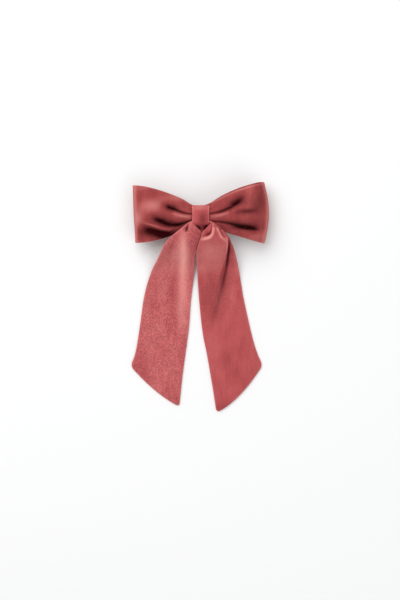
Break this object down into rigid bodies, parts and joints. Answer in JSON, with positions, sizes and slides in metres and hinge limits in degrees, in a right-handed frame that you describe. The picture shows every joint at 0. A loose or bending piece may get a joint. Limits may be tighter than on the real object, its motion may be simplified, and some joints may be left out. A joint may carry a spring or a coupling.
{
  "type": "bow barrette",
  "caption": "Velvet bow with long slant-cut tails on an automatic spring barrette clip that snaps shut over a lock of hair.",
  "frame": {"origin": "centre of the gap that holds the hair, between the clip's arm and its leaf spring, under the middle of the knot", "axes": "+X across the bow towards its right loop, +Y towards the bow's top edge with the tails towards -Y, +Z out of the bow's front"},
  "size_m": [0.11, 0.1842, 0.025],
  "materials": {
    "velvet": "dusty rose cotton velvet, short dense pile",
    "felt": "thin wool felt",
    "thread": "twisted polyester sewing thread",
    "nickel_steel": "nickel-plated pressed steel",
    "spring_steel": "hardened spring steel strip",
    "pin_steel": "polished drawn wire"
  },
  "bodies": {
    "bow_and_base": {"base_plate": "nickel_steel", "hinge_pin": "pin_steel", "tension_spring": "spring_steel", "rivets": "pin_steel", "catch_saddle": "spring_steel", "felt_pad": "felt", "bow_loops": "velvet", "waist_thread": "thread", "knot_band": "velvet", "band_stitches": "thread", "tail_stitches": "thread"},
    "arm": {"clasp_arm": "nickel_steel"},
    "prong_front": {"catch_prong_front": "spring_steel"},
    "prong_back": {"catch_prong_back": "spring_steel"},
    "left_tail": {"tail_left": "velvet"},
    "right_tail": {"tail_right": "velvet"}
  },
  "joints": [
    {"name": "arm_hinge", "type": "hinge", "parent": "bow_and_base", "child": "arm", "pos_m": [-0.031, 0, -0.0047], "axis": [0, 1, 0], "range_deg": [0, 75], "deforming": ["catch_prong_front", "catch_prong_back"]},
    {"name": "prong_front_pinch", "type": "hinge", "parent": "bow_and_base", "child": "prong_front", "pos_m": [0.031, -0.0026, 0.00157], "axis": [1, 0, 0], "range_deg": [0, 7], "stiffness_Nm_per_rad": 0.05},
    {"name": "prong_back_pinch", "type": "hinge", "parent": "bow_and_base", "child": "prong_back", "pos_m": [0.031, 0.0026, 0.00157], "axis": [-1, 0, 0], "range_deg": [0, 7], "stiffness_Nm_per_rad": 0.05},
    {"name": "tail_left_lift", "type": "hinge", "parent": "bow_and_base", "child": "left_tail", "pos_m": [-0.008, -0.0116, 0.0143], "axis": [-1, 0, 0], "range_deg": [0, 60]},
    {"name": "tail_right_lift", "type": "hinge", "parent": "bow_and_base", "child": "right_tail", "pos_m": [0.008, -0.0116, 0.0143], "axis": [-1, 0, 0], "range_deg": [0, 60]}
  ],
  "couplings": [
    {"joint": "prong_back_pinch", "follows": "prong_front_pinch", "ratio": 1}
  ]
}
